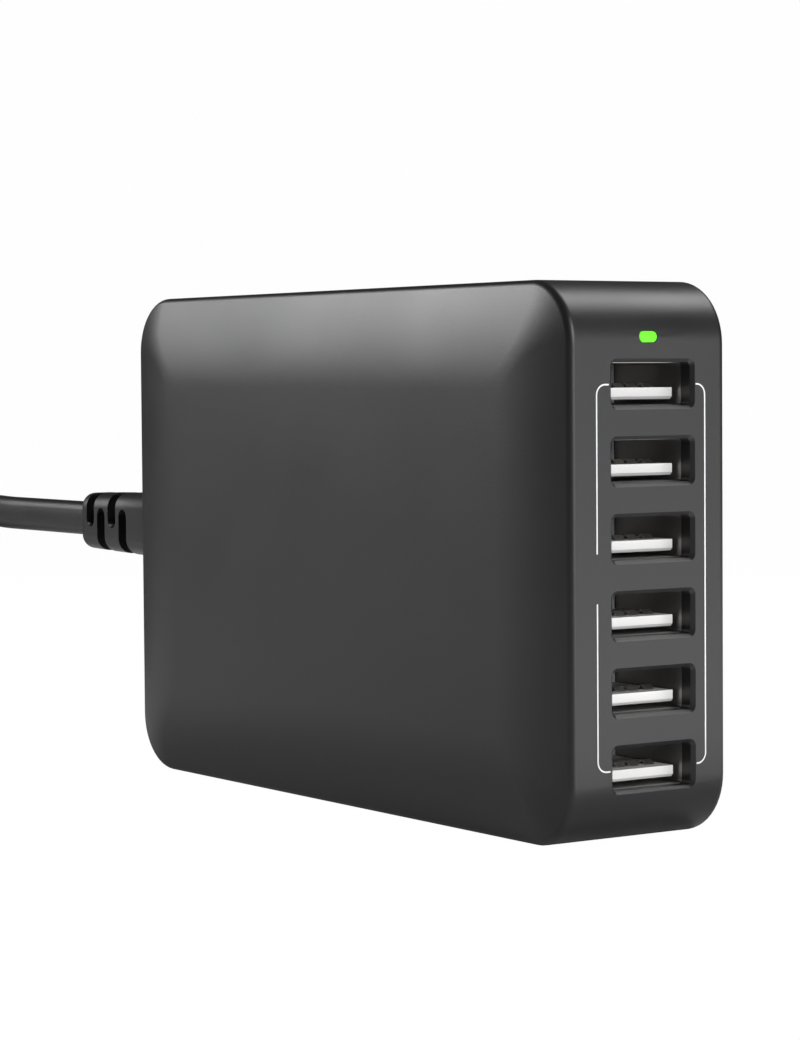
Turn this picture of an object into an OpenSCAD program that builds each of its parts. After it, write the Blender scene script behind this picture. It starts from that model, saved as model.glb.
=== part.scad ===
// Six-socket USB desktop charger standing on its narrow side, with its mains lead.
// X is the thickness, Y runs from the front (-Y) to the rear and Z is up.
// The origin is at the middle of the case's underside.

/* [Case] */
// Length of the case, front to rear
case_length = 107; // [92:1:120]
// Height of the case as it stands
case_height = 70; // [60:1:80]
// Thickness of the case across its crowned sides
case_thickness = 28; // [27:0.5:34]
// Corner radius of the side outline
corner_radius = 8; // [6:0.5:10]
// Width of the border where a crowned side falls away
border_width = 13.2; // [11:0.2:16]
// How far a crowned side falls across its border
border_drop = 1.95; // [1.4:0.05:2.4]
// Fillet where the crowned sides meet the narrow faces
edge_fillet = 1.1; // [0.6:0.1:1.5]
// Wall of the front, with the sockets behind it
front_wall = 2.2; // [1.8:0.1:2.8]
// Wall of the rear, top and bottom
rim_wall = 2.4; // [2:0.1:3]
// Wall of the two large sides
side_wall = 2.2; // [1.8:0.1:2.6]
// Distance from the outline to the seam of the side cover
seam_inset = 4; // [3.6:0.1:5]
// Width of the ledge that the side cover rests on
ledge_width = 1.4; // [1.2:0.1:2]
// Gap all round the side cover
cover_gap = 0.15; // [0.1:0.05:0.3]

/* [Sockets] */
// Height of the lowest socket's centre
socket_base = 9.6; // [9:0.1:10.5]
// Distance from the top socket's centre to the top of the case
socket_top = 12.9; // [12:0.1:14]
// Distance of the socket row from the middle of the thickness
socket_shift = 0.65; // [0:0.05:0.8]
// Width of a socket's hole in the case
socket_hole_width = 12.4; // [12.2:0.02:12.5]
// Height of a socket's hole in the case
socket_hole_height = 5.34; // [5.1:0.02:5.4]
// Chamfer round a socket's hole
socket_chamfer = 0.46; // [0.3:0.02:0.5]
// Inside width of a socket's metal shell
shell_width = 12.5; // [12.4:0.1:12.8]
// Inside height of a socket's metal shell
shell_height = 5.12; // [5.1:0.02:5.3]
// Sheet thickness of the metal shell
shell_sheet = 0.3; // [0.2:0.05:0.4]
// Depth of the metal shell
shell_depth = 16; // [14:0.5:18]
// Width of the tongue
tongue_width = 11.1; // [10.8:0.1:11.3]
// Thickness of the tongue
tongue_thickness = 1.45; // [1.2:0.05:1.8]
// Chamfer under the tongue's tip
tongue_chamfer = 0.35; // [0.1:0.05:0.5]
// Tip of the tongue behind the mouth of the shell
tongue_recess = 1; // [0.6:0.1:1.6]
// Top of the tongue below the socket's centre
tongue_drop = 0.45; // [0.3:0.05:0.5]
// Distance between the two middle contacts, and half that between the outer pairs
contact_pitch = 2; // [1.9:0.1:2.2]

/* [Indicator and print] */
// Height of the indicator's centre above the top socket's
indicator_rise = 5.8; // [5.2:0.1:6]
// Width of the indicator
indicator_width = 2.75; // [2:0.05:3.2]
// Height of the indicator
indicator_height = 1.4; // [1:0.05:1.8]
// Distance of the printed bracket from the middle of the thickness
bracket_shift = 0.35; // [0:0.05:0.8]
// Distance from the bracket's middle to each of its uprights
bracket_half_width = 8.5; // [8.2:0.1:9]
// Width of the printed line
print_width = 0.3; // [0.2:0.05:0.5]
// Thickness of the printed line
print_height = 0.05; // [0.04:0.01:0.1]
// Bend radius of the bracket
print_radius = 1.3; // [0.8:0.1:1.8]
// Bare length in the upright nearer the crowned side
print_gap = 6.1; // [4:0.1:8]

/* [Boards] */
// Thickness of a circuit board
board_thickness = 1.6; // [1.2:0.1:2]
// Height of the posts that carry the main board
post_height = 2.6; // [2:0.1:3.2]
// Outer radius of a post
post_radius = 2.6; // [2.3:0.1:3]
// Radius of the screws' pilot holes
pilot_radius = 1.1; // [1:0.05:1.2]
// Gap between a circuit board and the walls
board_gap = 0.4; // [0.3:0.05:0.6]

/* [Inlet and connector] */
// Height of the inlet and of the lead above the middle of the case
inlet_rise = 0.5; // [-2:0.5:2]
// Distance between the two mains pins
pin_pitch = 8.6; // [8.4:0.1:8.8]
// Radius of a mains pin
pin_radius = 1.2; // [1.1:0.05:1.25]
// Radius of each lobe of the inlet's recess
lobe_radius = 3.9; // [3.8:0.05:4]
// Depth of the inlet's recess
recess_depth = 11; // [10.5:0.1:12]
// Gap between the connector's nose and the recess
nose_gap = 0.2; // [0.15:0.05:0.3]
// Width of the connector's grip, along Z
grip_width = 16.6; // [16:0.1:17]
// Thickness of the connector's grip, along X
grip_thickness = 9.9; // [9:0.1:10.5]
// Length of the connector's grip behind the case
grip_length = 8.6; // [8:0.1:9]
// Length of the connector behind the case with its strain relief
connector_length = 35.3; // [35:0.1:36]
// Width of the strain relief where it starts
relief_width = 9.8; // [9.4:0.1:10.4]
// Thickness of the strain relief where it starts
relief_thickness = 8; // [7.6:0.1:8.6]
// Width of each slot in the strain relief
relief_slot = 2.45; // [2:0.05:2.6]
// Distance from the strain relief's end to the middle of its first slot
relief_first = 3.5; // [3.2:0.1:4.5]
// Distance between neighbouring slots of the strain relief
relief_pitch = 3.6; // [3.5:0.05:3.7]

/* [Lead] */
// Width of the flat mains lead
lead_width = 5.4; // [5:0.1:5.6]
// Thickness of the flat mains lead
lead_thickness = 3.4; // [3:0.1:3.6]
// Length of the hank's straight runs
hank_run = 52; // [48:1:60]
// Radius of the middle of the inner turn at the hank's ends
hank_inner_radius = 16.5; // [16.5:0.1:18]
// Distance between turns lying side by side
hank_pitch = 3.7; // [3.65:0.05:4]
// Height of one layer of turns
hank_layer = 5.5; // [5.45:0.05:5.8]
// Thickness of the strap round the hank
tie_thickness = 0.9; // [0.7:0.1:1]
// Width of the strap round the hank
tie_width = 9; // [6:0.5:14]
// Width of the mains plug
plug_width = 26; // [24:0.5:27]
// Thickness of the mains plug
plug_thickness = 15; // [14:0.5:16]
// Length of the mains plug's body
plug_length = 24; // [22:0.5:28]

/* [Hidden] */
$fn = 64;

case_black = [0.17, 0.17, 0.175];
cord_black = [0.1, 0.1, 0.105];
tongue_white = [0.93, 0.93, 0.92];
steel = [0.62, 0.62, 0.64];
gold = [0.8, 0.66, 0.32];
board_green = [0.1, 0.32, 0.18];
copper = [0.72, 0.4, 0.2];
ferrite = [0.2, 0.2, 0.21];

// Overshoot of a cut past the face it opens
cut = 1;
// Gap round a part that sits in its hole
fit_gap = 0.1;
y_front = -case_length / 2;
y_rear = case_length / 2;
z_mid = case_height / 2;
x_top = case_thickness / 2;
// Radius of the arc that rounds the border of a crowned side
border_arc = (border_width * border_width + border_drop * border_drop) / (2 * border_drop);
// Where the side cover rests, below the case's surface at the seam
cover_fall = border_arc - sqrt(pow(border_arc, 2) - pow(border_width - seam_inset, 2));
cover_edge = 2.4;
x_seat = x_top - cover_fall - cover_edge;
ledge_height = 1.6;
x_inner = side_wall - x_top;
cavity_fall = border_arc - sqrt(pow(border_arc, 2) - pow(border_width - rim_wall, 2));

socket_count = 6;
shell_outer_width = shell_width + 2 * shell_sheet;
shell_outer_height = shell_height + 2 * shell_sheet;
mouth_y = y_front + front_wall;
tip_y = mouth_y + tongue_recess;
port_board_y = mouth_y + shell_depth;
port_board_back = port_board_y + board_thickness;
socket_pitch = (case_height - socket_base - socket_top) / (socket_count - 1);
indicator_z = case_height - socket_top + indicator_rise;

board_face = x_inner + post_height + board_thickness;
main_board_rear = y_rear - corner_radius - board_gap;
inlet_z = z_mid + inlet_rise;
inlet_block_width = 2 * lobe_radius + pin_pitch + 2.8;
inlet_block_thickness = 2 * lobe_radius + 2.8;
inlet_back = 3;
inlet_y = y_rear - recess_depth - inlet_back;
pin_tail = 4;
flange = 1.6;
pin_gap = 0.05;
sleeve_wall = 0.5;

// Rows of parts on the main board, counted from the port board
rectifier_row = 16.5;
transformer_row = 33.8;
capacitor_row = 51.1;
fuse_row = 64.2;
// Length of the last row, and the case's height, for which the parts' sizes and places are given
given_length = 69.2;
given_height = 70;
row_scale = (inlet_y - pin_tail - port_board_back) / given_length;
rise_scale = case_height / given_height;
part_scale = min(1, row_scale, rise_scale);

hank_x = -8;
hank_y = 225;
hank_turns_wide = 2;
hank_turns_high = 3;
hank_outer_radius = hank_inner_radius + (hank_turns_wide - 1) * hank_pitch + lead_thickness / 2 + 0.05;
hank_hole_radius = hank_inner_radius - lead_thickness / 2;
hank_base = tie_thickness + 0.1;
hank_top = hank_base + hank_turns_high * hank_layer;
connector_end = y_rear + connector_length;
plug_x = -3;
plug_y = 258;
relief_tail = 20;
plug_z = hank_top + plug_thickness / 2;

// The lead from the strain relief down to the hank: X, Y and Z
lead_route = [
    [0, connector_end, inlet_z], [0, 96, inlet_z], [0, 104, inlet_z], [0, 112, inlet_z],
    [0, 121, inlet_z], [0.5, 130, inlet_z], [1, 137, inlet_z - 1.5], [2, 143.5, inlet_z - 5],
    [3.5, 149, inlet_z - 10], [4.5, 152.5, 19.5], [6, 156, 13.5], [7.5, 161.5, 8.5],
    [9, 168, 5.5], [10.5, 175, 4], [11.5, 182, 3.8], [12.2, 190, 3.8], [12.2, 199, 3.8]];
// The lead's last stretch, from the hank's top layer over its end and up to the plug
tail_route = [
    [-24.5, 199, 14.75], [-23.5, 192.8, 15], [-20.2, 187.8, 15.6], [-16, 184.6, 16.4],
    [-10.5, 182.7, 17.6], [-4.5, 182.9, 18.8], [1, 185.2, 19.7], [5.2, 189, 20.1],
    [7.8, 194, 20.25], [8.5, 200, 20.4], [7.6, 207, 20.8], [5.2, 214, 21.7],
    [2.2, 221, 23.2], [-1, 228, 24.6], [-3, 234, plug_z], [plug_x, plug_y - relief_tail, plug_z]];

// Turns a drawing's x, y and height into Y, Z and X
module on_side(x = 0, y = 0, z = 0) {
    translate([x, y, z]) rotate([90, 0, 90]) children();
}

// Extrudes a drawing of X and Z along Y, from y0 to y0 + depth
module along_y(y0, depth, x = 0, z = 0) {
    translate([x, y0 + depth, z]) rotate([90, 0, 0]) linear_extrude(depth) children();
}

module rounded_rectangle(width, height, radius) {
    square([width - 2 * radius, height], center = true);
    square([width, height - 2 * radius], center = true);
    for (x = [-1, 1], y = [-1, 1])
        translate([x * (width / 2 - radius), y * (height / 2 - radius)]) circle(radius);
}

module figure_eight(radius) {
    for (y = [-1, 1]) translate([0, y * pin_pitch / 2]) circle(radius);
    square([1.5 * radius, pin_pitch], center = true);
}

// Section across the border of a crowned block: x runs inwards from 0 at the outline to reach
module border_section(thickness, width, arc, fillet, reach) {
    arc_y = thickness / 2 - arc;
    fillet_y = arc_y + sqrt(pow(arc - fillet, 2) - pow(width - fillet, 2));
    lean = atan2(width - fillet, fillet_y - arc_y);
    past = 2 * fillet + cut;
    difference() {
        intersection() {
            translate([0, -thickness / 2]) square([reach, thickness]);
            translate([width, arc_y]) circle(arc, $fn = 720);
            translate([width, -arc_y]) circle(arc, $fn = 720);
        }
        for (side = [0, 1]) mirror([0, side]) translate([fillet, fillet_y]) difference() {
            polygon([[0, 0], [-past, 0], [-past, past], [-past * sin(lean), past * cos(lean)]]);
            circle(fillet);
        }
    }
}

// Both borders of a crowned block and the flat between them, drawn along y
module crowned_section(length, thickness, width, arc, fillet) {
    square([thickness, length - 2 * width], center = true);
    for (end = [0, 1]) mirror([0, end]) translate([0, -length / 2]) rotate(-90) mirror([1, 0])
        border_section(thickness, width, arc, fillet, width);
}

// Block with crowned large sides, round corners in its side outline and filleted edges.
// A plain core lies inside it and runs through its straight part and its corners.
module crowned_block(length, height, thickness, radius, width, arc, fillet) {
    core_half = thickness / 2 - border_drop - fit_gap;
    on_side(-core_half) linear_extrude(2 * core_half)
        rounded_rectangle(length - 2 * fillet, height - 2 * fillet, radius - fillet);
    intersection() {
        translate([0, 0, -height / 2]) linear_extrude(height)
            crowned_section(length, thickness, width, arc, fillet);
        along_y(-length / 2, length) crowned_section(height, thickness, width, arc, fillet);
        on_side(-thickness / 2) linear_extrude(thickness) {
            square([length - 2 * radius, height], center = true);
            square([length, height - 2 * radius], center = true);
        }
    }
    for (quarter = [0:3]) {
        y = (quarter == 0 || quarter == 3) ? 1 : -1;
        z = quarter < 2 ? 1 : -1;
        on_side(0, y * (length / 2 - radius), z * (height / 2 - radius)) rotate(90 * quarter)
            rotate_extrude(angle = 90) translate([radius, 0]) mirror([1, 0])
                border_section(thickness, width, arc, fillet, radius);
    }
}

module outer_block() {
    translate([0, 0, z_mid])
        crowned_block(case_length, case_height, case_thickness,
            corner_radius, border_width, border_arc, edge_fillet);
}

// Prism over the side outline, set in from it, between two values of X
module side_prism(inset, x0, x1) {
    on_side(x0, 0, z_mid) linear_extrude(x1 - x0)
        rounded_rectangle(case_length - 2 * inset, case_height - 2 * inset, corner_radius - inset);
}

// Space inside the case, up to the ledge, with a far side that slopes under the crowned border
module case_cavity() {
    x_rim = x_inner + cavity_fall;
    x_ledge = x_seat - ledge_height;
    intersection() {
        on_side(x_inner, (front_wall - rim_wall) / 2, z_mid) linear_extrude(x_ledge - x_inner)
            rounded_rectangle(case_length - front_wall - rim_wall, case_height - 2 * rim_wall,
                corner_radius - rim_wall);
        linear_extrude(case_height) polygon([
            [x_rim, y_front + front_wall], [x_inner, y_front + border_width],
            [x_inner, y_rear - border_width], [x_rim, y_rear - rim_wall],
            [x_ledge, y_rear - rim_wall], [x_ledge, y_front + front_wall]]);
        along_y(y_front, case_length) polygon([
            [x_rim, rim_wall], [x_inner, border_width], [x_inner, case_height - border_width],
            [x_rim, case_height - rim_wall], [x_ledge, case_height - rim_wall], [x_ledge, rim_wall]]);
    }
}

module socket_mouth() {
    wide = socket_hole_width + 2 * socket_chamfer;
    high = socket_hole_height + 2 * socket_chamfer;
    along_y(y_front - cut, front_wall + 2 * cut)
        rounded_rectangle(socket_hole_width, socket_hole_height, 0.5);
    intersection() {
        translate([0, 0, -high / 2]) linear_extrude(high) polygon([
            [-wide / 2 - cut, y_front - cut], [wide / 2 + cut, y_front - cut],
            [socket_hole_width / 2, y_front + socket_chamfer],
            [-socket_hole_width / 2, y_front + socket_chamfer]]);
        on_side(-wide / 2) linear_extrude(wide) polygon([
            [y_front - cut, -high / 2 - cut], [y_front - cut, high / 2 + cut],
            [y_front + socket_chamfer, socket_hole_height / 2],
            [y_front + socket_chamfer, -socket_hole_height / 2]]);
        along_y(y_front - cut, 2 * cut) rounded_rectangle(wide, high, 0.9);
    }
}

module at_sockets() {
    for (i = [0:socket_count - 1])
        translate([socket_shift, 0, socket_base + i * socket_pitch]) children();
}

// Socket 1 is the top one
module at_socket(number) {
    translate([socket_shift, 0, socket_base + (socket_count - number) * socket_pitch]) children();
}

// Where the four screws hold the main board
module at_posts(x) {
    for (y = [port_board_back + 6, main_board_rear - 6], z = [8.5, case_height - 8.5])
        on_side(x, y, z) children();
}

module case_shell() {
    color(case_black) difference() {
        union() {
            difference() {
                outer_block();
                case_cavity();
                side_prism(seam_inset + ledge_width, x_seat - ledge_height - 0.1, x_seat + 0.1);
                side_prism(seam_inset, x_seat, x_top + cut);
            }
            at_posts(x_inner - 0.5) cylinder(r = post_radius, h = post_height + 0.5);
        }
        at_posts(x_inner) cylinder(r = pilot_radius, h = post_height + cut);
        at_sockets() {
            socket_mouth();
            along_y(mouth_y, 2)
                square([shell_outer_width + 2 * fit_gap, shell_outer_height + 2 * fit_gap], center = true);
        }
        along_y(y_front - cut, front_wall + 2 * cut, 0, indicator_z)
            rounded_rectangle(indicator_width + fit_gap, indicator_height + fit_gap, indicator_height / 2);
        along_y(y_rear - rim_wall - cut, rim_wall + 2 * cut, 0, inlet_z)
            square([inlet_block_thickness + 2 * fit_gap, inlet_block_width + 2 * fit_gap], center = true);
    }
}

module side_cover() {
    color(case_black) difference() {
        intersection() {
            outer_block();
            side_prism(seam_inset + cover_gap, x_seat, x_top + cut);
        }
        side_prism(seam_inset + cover_gap + 3, x_seat - cut, x_top - side_wall);
    }
}

module indicator_lens() {
    color([0.48, 0.95, 0.2]) along_y(y_front, front_wall + shell_depth - 1.2, 0, indicator_z)
        rounded_rectangle(indicator_width, indicator_height, indicator_height / 2 - 0.05);
}

module indicator_led() {
    color([0.85, 0.9, 0.8]) translate([-1, port_board_y - 1, indicator_z - 0.6]) cube([2, 1, 1.2]);
}

// One side of the printed bracket, drawn with x outwards from the socket row
module bracket_half(stub) {
    low = socket_base;
    high = socket_base + (socket_count - 1) * socket_pitch;
    half = bracket_half_width;
    inner = print_radius - print_width / 2;
    outer = print_radius + print_width / 2;
    translate([half - print_width / 2, low + print_radius])
        square([print_width, high - low - 2 * print_radius]);
    for (end = [0, 1]) translate([0, end ? low + high : 0]) mirror([0, end]) {
        translate([stub, low - print_width / 2]) square([half - print_radius - stub, print_width]);
        intersection() {
            translate([half - print_radius, low + print_radius]) difference() {
                circle(outer);
                circle(inner);
            }
            translate([half - print_radius, low - print_width]) square([outer, print_radius + print_width]);
        }
    }
}

module bracket_print() {
    stub = socket_hole_width / 2 + socket_chamfer + print_width;
    high_socket = (socket_count - 1) * socket_pitch;
    color("white") along_y(y_front - print_height, print_height, bracket_shift) {
        bracket_half(stub);
        mirror([1, 0]) difference() {
            bracket_half(stub);
            translate([bracket_half_width - 1, socket_base + (high_socket - print_gap) / 2])
                square([2, print_gap]);
        }
    }
}

module socket_shell(number) {
    leg = 3;
    color(steel) at_socket(number) {
        along_y(mouth_y, shell_depth) difference() {
            rounded_rectangle(shell_outer_width, shell_outer_height, 0.6);
            rounded_rectangle(shell_width, shell_height, 0.3);
        }
        for (side = [-1, 1]) translate([side * (shell_width + shell_sheet) / 2, port_board_y, 0])
            translate([-shell_sheet / 2, -cut, -0.9]) cube([shell_sheet, leg + cut, 1.8]);
    }
}

function contact_x(i) = [-1.75, -0.5, 0.5, 1.75][i] * contact_pitch;

module socket_tongue(number) {
    block = 2.5;
    color(tongue_white) at_socket(number) difference() {
        union() {
            on_side(-tongue_width / 2, 0, -tongue_drop) linear_extrude(tongue_width) polygon([
                [tip_y, 0], [port_board_y - block + cut, 0],
                [port_board_y - block + cut, -tongue_thickness],
                [tip_y + tongue_chamfer, -tongue_thickness], [tip_y, tongue_chamfer - tongue_thickness]]);
            translate([-shell_width / 2 + 0.1, port_board_y - block, -shell_height / 2 + 0.1])
                cube([shell_width - 0.2, block, shell_height - 0.2]);
        }
        for (i = [0:3]) translate([contact_x(i) - 0.8, port_board_y - block - cut / 2, -tongue_drop])
            cube([1.6, block + cut, 0.4]);
    }
}

// Four sprung strips on top of the tongue, bent up near its tip
module socket_contacts(number) {
    start = tip_y + 2;
    color(gold) at_socket(number) for (i = [0:3])
        on_side(contact_x(i) - 0.7, 0, -tongue_drop) linear_extrude(1.4) polygon([
            [start, 0], [start + 0.8, 0.6], [start + 1.2, 0.6], [start + 1.9, 0.3],
            [port_board_y + 3, 0.3], [port_board_y + 3, 0]]);
}

module port_board() {
    x_low = x_inner + cavity_fall + board_gap;
    color(board_green) difference() {
        translate([x_low, port_board_y, rim_wall + board_gap])
            cube([x_seat - ledge_height - board_gap - x_low, board_thickness,
                case_height - 2 * (rim_wall + board_gap)]);
        at_sockets() {
            for (i = [0:3]) translate([contact_x(i) - 0.85, port_board_y - cut, -tongue_drop - 0.15])
                cube([1.7, board_thickness + 2 * cut, 0.6]);
            for (side = [-1, 1])
                translate([side * (shell_width + shell_sheet) / 2 - 0.3, port_board_y - cut, -1.05])
                    cube([0.6, board_thickness + 2 * cut, 2.1]);
        }
    }
}

module main_board() {
    z0 = rim_wall + board_gap;
    color(board_green) difference() {
        translate([x_inner + post_height, port_board_back, z0])
            cube([board_thickness, main_board_rear - port_board_back, case_height - 2 * z0]);
        at_posts(x_inner) cylinder(r = 1.5, h = 20);
    }
}

module board_screws() {
    color(steel) at_posts(board_face) {
        translate([0, 0, -3.6]) cylinder(r = pilot_radius - 0.05, h = 3.7);
        difference() {
            cylinder(r = 2.3, h = 1.5);
            for (turn = [0, 90]) rotate(turn) translate([-1.3, -0.25, 0.8]) cube([2.6, 0.5, cut]);
        }
    }
}

// Six-legged control chips on the back of the port board
module charging_chips() {
    color([0.12, 0.12, 0.13]) for (i = [0:2])
        translate([2, port_board_back, socket_base + (0.5 + 2 * i) * socket_pitch - 2]) {
            cube([5, 1.5, 4]);
            for (leg = [0:3]) translate([-0.8, 0, 0.2 + leg * 1.05]) cube([6.6, 0.25, 0.45]);
        }
}

module inlet_body() {
    color([0.12, 0.12, 0.12]) difference() {
        union() {
            along_y(inlet_y, recess_depth + inlet_back, 0, inlet_z)
                square([inlet_block_thickness, inlet_block_width], center = true);
            along_y(y_rear - rim_wall - flange, flange, 0, inlet_z)
                rounded_rectangle(inlet_block_thickness + 2.4, inlet_block_width + 3.2, 1);
        }
        along_y(y_rear - recess_depth, recess_depth + cut, 0, inlet_z) figure_eight(lobe_radius);
        for (side = [-1, 1])
            along_y(inlet_y - cut, inlet_back + 2 * cut, 0, inlet_z + side * pin_pitch / 2)
                circle(pin_radius + pin_gap);
    }
}

module inlet_pins() {
    color(steel) for (side = [-1, 1]) {
        along_y(inlet_y - pin_tail, pin_tail + inlet_back + recess_depth - 3,
            0, inlet_z + side * pin_pitch / 2)
                circle(pin_radius);
    }
}

// Flat straps from the pins' tails to the main board
module inlet_straps() {
    thick = 1;
    color(gold) for (side = [-1, 1])
        along_y(inlet_y - pin_tail + 1, thick, 0, inlet_z + side * pin_pitch / 2) difference() {
            union() {
                circle(pin_radius + 1);
                translate([board_face, -1]) square([-board_face, 2]);
            }
            circle(pin_radius + pin_gap);
        }
}

// Places a part on the main board with its drawing's x along Y, y along Z and height along X
module on_board(row, z) {
    on_side(board_face, port_board_back + row * row_scale, z_mid + z * rise_scale)
        scale(part_scale) children();
}

module fuse() {
    on_board(fuse_row, 19) {
        color("white") translate([0, 0, 2.9]) rotate([90, 0, 0]) cylinder(r = 2.3, h = 14, center = true);
        color(steel) for (side = [-1, 1]) {
            translate([0, side * 8.5, 2.9]) rotate([90, 0, 0]) cylinder(r = 2.6, h = 3, center = true);
            translate([-0.4, side * 8.5 - 0.4, 0]) cube([0.8, 0.8, 1]);
        }
    }
}

module varistor() {
    color([0.12, 0.25, 0.6]) on_board(fuse_row, 2.5) {
        translate([0, 0, 6]) rotate([0, 90, 0]) cylinder(r = 5, h = 4, center = true);
        for (side = [-1, 1]) translate([-0.4, side * 2.5 - 0.4, 0]) cube([0.8, 0.8, 3]);
    }
}

module x_capacitor() {
    color([0.85, 0.75, 0.15]) on_board(fuse_row, -17) translate([-4, -9, 0]) difference() {
        cube([8, 18, 12]);
        translate([1, -1, -1]) cube([6, 20, 1.5]);
    }
}

choke_height = 9;
choke_outer = 7.2;
choke_inner = 3.6;

module at_choke() {
    on_board(capacitor_row, 20) translate([0, 0, 1.8]) children();
}

module choke_core() {
    color(ferrite) at_choke() {
        difference() {
            cylinder(r = choke_outer, h = choke_height);
            translate([0, 0, -cut]) cylinder(r = choke_inner, h = choke_height + 2 * cut);
        }
        for (turn = [90, 270]) rotate(turn) translate([5.4, 0, -1.8]) cylinder(r = 1, h = 2);
    }
}

module choke_windings() {
    color(copper) at_choke() for (side = [-1, 1], turn = [-2:2])
        rotate(90 - side * 90 + turn * 17)
            translate([(choke_outer + choke_inner) / 2, 0, choke_height / 2]) rotate([90, 0, 0])
                linear_extrude(0.6, center = true) difference() {
                square([choke_outer - choke_inner + 1.9, choke_height + 1.9], center = true);
                square([choke_outer - choke_inner + 0.3, choke_height + 0.3], center = true);
            }
}

module electrolytic(radius, height) {
    rotate_extrude() difference() {
        square([radius, height]);
        translate([radius, height - 2]) circle(0.5);
        translate([-1, height - 0.5]) square([radius, 1]);
    }
}

module bulk_capacitors() {
    color([0.16, 0.2, 0.35]) for (z = [-20.5, -5]) on_board(capacitor_row, z) electrolytic(7, 16);
}

module bridge_rectifier() {
    color([0.1, 0.1, 0.1]) on_board(transformer_row + 3, -27.5) {
        translate([-7, -1.9, 2.5]) difference() {
            cube([14, 3.8, 10]);
            translate([14, 0, 10]) rotate([0, 45, 0]) cube([3, 10, 3], center = true);
        }
        for (leg = [0:3]) translate([-5.5 + leg * 3.4, -0.4, 0]) cube([0.8, 0.8, 2.6]);
    }
}

core_width = 24;
core_depth = 18;
core_height = 12;
core_lift = 2.4;

module at_transformer() {
    on_board(transformer_row, 4) translate([0, 0, core_lift]) children();
}

// Ferrite frame with a centre leg through the bobbin
module transformer_core() {
    color(ferrite) at_transformer() difference() {
        translate([-4, -core_width / 2, 0]) cube([8, core_width, core_height]);
        for (side = [-1, 1]) translate([-5, side * 6.5 - 3.5, 2.5]) cube([10, 7, core_height - 5]);
    }
}

module transformer_bobbin() {
    color([0.15, 0.15, 0.15]) at_transformer() translate([0, 0, 2.5]) {
        difference() {
            union() {
                for (z = [0.1, core_height - 6.1]) translate([-core_depth / 2, -core_width / 2 + 2.3, z])
                    cube([core_depth, core_width - 4.6, 1]);
                translate([-5, -4.2, 0.1]) cube([10, 8.4, core_height - 5.2]);
            }
            translate([-4.1, -3.1, -1]) cube([8.2, 6.2, core_height]);
        }
    }
    color([0.15, 0.15, 0.15]) at_transformer() for (side = [-1, 1])
        translate([side * (core_depth / 2 - 1.5) - 1.5, -core_width / 2 + 2.3, -core_lift])
            cube([3, core_width - 4.6, core_lift + 2.7]);
}

module transformer_winding() {
    color([0.85, 0.75, 0.2]) at_transformer() translate([0, 0, 2.5]) difference() {
        translate([-core_depth / 2 + 0.6, -core_width / 2 + 3, 1.2])
            cube([core_depth - 1.2, core_width - 6, core_height - 7.4]);
        translate([-5.1, -4.3, 0]) cube([10.2, 8.6, core_height]);
    }
}

module primary_heat_sink() {
    color([0.75, 0.76, 0.78]) on_board(transformer_row, -14) {
        translate([-10, -1, 0]) cube([20, 2, 15]);
        for (fin = [0:3]) translate([-10 + fin * 5.6, 1, 3]) cube([1.2, 1.6, 12]);
    }
}

// Flat power package with its metal tab, standing against a heat sink
module power_package() {
    translate([-5, 0, 3]) cube([10, 4.4, 9]);
    translate([-5, 0, 12]) cube([10, 1.3, 3]);
    for (leg = [-1, 0, 1]) translate([leg * 2.5 - 0.4, 1.5, 0]) cube([0.8, 0.6, 3.1]);
}

module switching_transistor() {
    color([0.1, 0.1, 0.1]) on_board(transformer_row - 3, -15) mirror([0, 1]) power_package();
}

module y_capacitor() {
    color([0.1, 0.3, 0.7]) on_board(transformer_row - 4, 24) {
        translate([0, 0, 5]) rotate([90, 0, 0]) cylinder(r = 4, h = 3.5, center = true);
        for (side = [-1, 1]) translate([side * 2.5 - 0.35, -0.35, 0]) cube([0.7, 0.7, 2.5]);
    }
}

module optocoupler() {
    color([0.95, 0.95, 0.95]) on_board(transformer_row + 5, 24) {
        translate([-3.2, -2.3, 0.8]) cube([6.4, 4.6, 3.4]);
        for (side = [-1, 1], leg = [-1, 1])
            translate([leg * 1.3 - 0.3, side * 2.6 - 0.5, 0]) cube([0.6, 1, 2]);
    }
}

module secondary_heat_sink() {
    color([0.75, 0.76, 0.78]) on_board(rectifier_row - 2, 2) {
        translate([-0.8, -12, 0]) cube([1.6, 24, 15]);
        for (side = [-1, 1]) translate([-4, side * 12 - 0.8, 0]) cube([4, 1.6, 15]);
    }
}

module output_rectifier() {
    color([0.1, 0.1, 0.1]) on_board(rectifier_row - 2.8, 2) rotate(90) power_package();
}

module output_capacitors() {
    color([0.16, 0.2, 0.35]) for (place = [[6.3, -16], [15.1, -16], [15.1, -25], [23.8, -25]])
        on_board(place[0], place[1]) electrolytic(4, 12);
}

module output_choke() {
    color(ferrite) on_board(rectifier_row + 1.7, 23.5) rotate_extrude() difference() {
        square([6, 11]);
        translate([4.4, 1.5]) square([3, 8]);
    }
    color(copper) on_board(rectifier_row + 1.7, 23.5) rotate_extrude()
        translate([4.4, 1.5]) square([1.2, 8]);
}

// Rounded plate standing across Y, for the connector's outer skin
module skin_plate(y, thickness, width, radius) {
    along_y(y, 0.1, 0, inlet_z) rounded_rectangle(thickness, width, radius, $fn = 32);
}

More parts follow.
